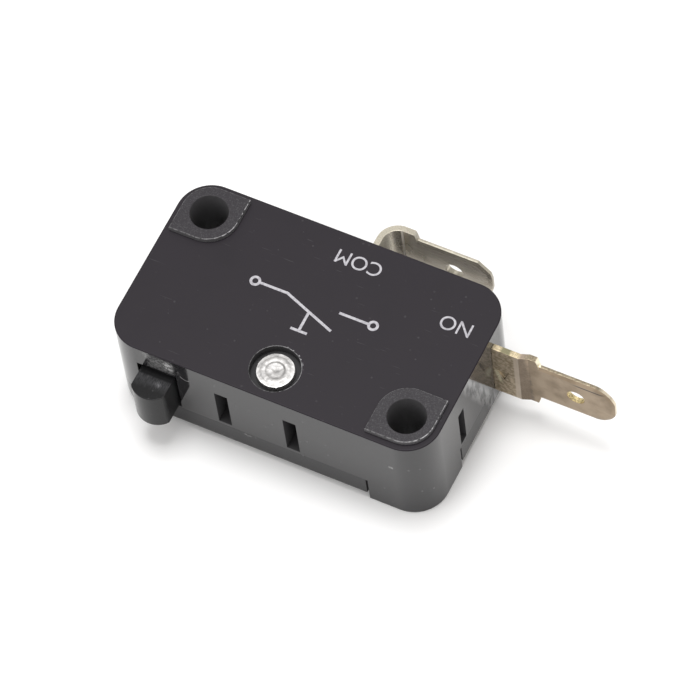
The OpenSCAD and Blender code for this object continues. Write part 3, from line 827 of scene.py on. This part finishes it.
com_strip = join_copy("com_terminal", "com_strip")
break_edges(com_strip, outside_back, cut_break, sharp_deg=50)
smooth_faces(com_strip, limit_deg=30, flat_width=0.3)
no_strip = join_copy("no_terminal", "no_strip")
break_edges(no_strip, on_tip_corner, tip_round, segments=5, sharp_deg=8)
break_edges(no_strip, outside_end, cut_break, sharp_deg=50)
smooth_faces(no_strip, limit_deg=30, flat_width=0.3)
for strip, node_name in ((com_strip, "com_terminal"), (no_strip, "no_terminal")):
    strip.data.materials.append(strip_brass)
    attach(strip, "housing")
    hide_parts(node_name)


# Plunger
# Black pin that is pushed in to work the switch. Moulded in a harder resin, with a blunt round front
# between flat flanks, polished where it slides in the wall and rubbed on top under a painted sheen.
nose_x, nose_half, front_radius = -9.3, 1.45, 1.85
nose_break = 0.05
rim_rear = 0.3 - case_high.y
rub_x, rub_y = -8.76, -8.88
paler_front, paler_rear = -9.6, -8.8
slide_front, slide_rear = -9.4, -8.5
near_wall_y = -8.4
tip_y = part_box("plunger")[0].y / MM
nose_root = tip_y + nose_half
front_middle = front_radius - nose_half


def on_nose_rim(point, normals):
    return point.y < rim_rear and abs(normals[0].z) + abs(normals[1].z) > 0.9


plunger_pin = join_copy("plunger", "plunger_pin")
for corner in plunger_pin.data.vertices:
    arm = corner.co.xy / MM - Vector((nose_x, nose_root))
    if arm.y > -0.001:
        continue
    arm.normalize()
    to_front = front_middle * arm.y + math.sqrt(front_radius ** 2 - (front_middle * arm.x) ** 2)
    to_flank = nose_half / max(abs(arm.x), 0.001)
    arm *= min(to_front, to_flank)
    corner.co.x = (nose_x + arm.x) * MM
    corner.co.y = (nose_root + arm.y) * MM
break_edges(plunger_pin, on_nose_rim, nose_break)
smooth_faces(plunger_pin)

plunger_black, net, shade = new_material("plunger_black", specular=0.2)
spot = place_group(net, where)
finish = place_group(net, mould, Grain_Size=0.1)
on_top = ramp(net, spot["Facing Z"], 0.7, 0.95)
streaks = cloud(net, stretched(net, spot["Place"], 1.0, 0.12, 1.0), 19.0, 4)
# Rubbed streaks on the top, painted paler as a painted sheen
rub_and_sheen = product(net, on_top, window(net, (spot["X"], rub_x, 0.08, 0.5), (spot["Y"], rub_y, 0.08, 0.4)),
              ramp(net, streaks, 0.4, 0.62, 0.05, 0.75))
# The rear of the top is painted paler in streaks, except in the band next to the wall, which keeps the
# wall's shade
near_wall_band = product(net, on_top, ramp(net, spot["Y"], near_wall_y - 0.1, near_wall_y + 0.05))
rear_paler = product(net, on_top, ramp(net, spot["Y"], paler_front, paler_rear, 0.02, 0.27),
                    ramp(net, near_wall_band, 0, 1, 1.0, 0.1), ramp(net, streaks, 0.38, 0.62, 0.25, 1.0))
colour = blend(net, finish["Mottle"], (0.0075, 0.0075, 0.008), (0.0115, 0.0115, 0.012))
colour = blend(net, product(net, finish["Dust"], 0.12), colour, (0.3, 0.3, 0.31))
slide_polish = ramp(net, spot["Y"], slide_front, slide_rear, 0.2, 0.1)
side_dull = ramp(net, calc(net, "ABSOLUTE", spot["Facing X"]), 0.7, 0.95, 0.0, 0.3)
feed(net, shade,
     Base_Color=blend(net, strongest(net, rub_and_sheen, rear_paler), colour, (0.2, 0.2, 0.21)),
     Roughness=calc(net, "ADD", slide_polish, side_dull))
add_relief(net, shade, finish["Grain"], 0.004, 0.4)
plunger_pin.data.materials.append(plunger_black)
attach(plunger_pin, "plunger")
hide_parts("plunger")


# Snap mechanism
# The pieces that the closed case hides: silver contacts riveted to their carriers, the copper alloy
# blade and the drawn steel wire spring. Their CAD shapes stay and only take a finish.
def finish_inner(name, node_names, dark, light, rough, scale):
    made, net, shade = new_material(name, metallic=1.0)
    patch = place_group(net, metal, Scale=scale)
    feed(net, shade,
         Base_Color=blend(net, ramp(net, patch["Stain"], 0.35, 0.65), dark, light),
         Roughness=ramp(net, patch["Fine"], 0.3, 0.7, *rough))
    add_relief(net, shade, patch["Rolled"], 0.004, 0.5)
    for node_name in node_names:
        for holder in frame["nodes"][node_name].material_slots:
            holder.material = made


finish_inner("contact_silver", ("no_contact", "moving_contact"),
             (0.62, 0.61, 0.58), (0.86, 0.85, 0.82), (0.2, 0.38), 2.0)
finish_inner("blade_copper", ("contact_blade",), (0.52, 0.28, 0.15), (0.74, 0.42, 0.25), (0.25, 0.42), 1.2)
finish_inner("spring_wire", ("snap_spring",), (0.36, 0.36, 0.37), (0.56, 0.56, 0.58), (0.22, 0.4), 3.0)


# Studio
# A pale floor under an even, slightly warm sky, with a softbox overhead and a weaker, larger one at
# the front left. The camera looks down on the face from the front right through a long lens.
floor_size = 3.0
floor_white = (0.93, 0.93, 0.93, 1)
sky_white, sky_strength = (1, 0.985, 0.972, 1), 0.75
camera_place = (0.11998, -0.17509, 0.36311)
camera_turn_deg = (30.2706, 4.4218, 26.1210)
camera_lens, camera_sensor = 274.15, 36
bpy.ops.object.select_all(action="DESELECT")
bpy.ops.mesh.primitive_plane_add(size=floor_size, location=(0, 0, 0))
floor = bpy.context.active_object
floor.name = "floor"
floor_paint, net, shade = new_material("floor_paint")
shade.inputs["Base Color"].default_value = floor_white
shade.inputs["Roughness"].default_value = 0.9
floor.data.materials.append(floor_paint)

sky = bpy.data.worlds.new("sky")
sky.use_nodes = True
sky.node_tree.nodes["Background"].inputs["Color"].default_value = sky_white
sky.node_tree.nodes["Background"].inputs["Strength"].default_value = sky_strength
bpy.context.scene.world = sky

for name, place, size, power in (("softbox_key", (-0.07, 0.1, 1.0), 0.4, 6.0),
                                 ("softbox_fill", (-0.5, -0.6, 0.7), 0.7, 2.0)):
    softbox = bpy.data.lights.new(name, "AREA")
    softbox.size = size
    softbox.energy = power
    lamp = bpy.data.objects.new(name, softbox)
    lamp.location = place
    lamp.rotation_euler = (-Vector(place)).to_track_quat("-Z", "Y").to_euler()
    bpy.context.scene.collection.objects.link(lamp)

lens = bpy.data.cameras.new("camera")
lens.sensor_width = camera_sensor
lens.lens = camera_lens
camera = bpy.data.objects.new("camera", lens)
camera.location = camera_place
camera.rotation_euler = Euler([math.radians(turn) for turn in camera_turn_deg], "XYZ")
bpy.context.scene.collection.objects.link(camera)
bpy.context.scene.camera = camera
bpy.context.scene.view_settings.view_transform = "Standard"
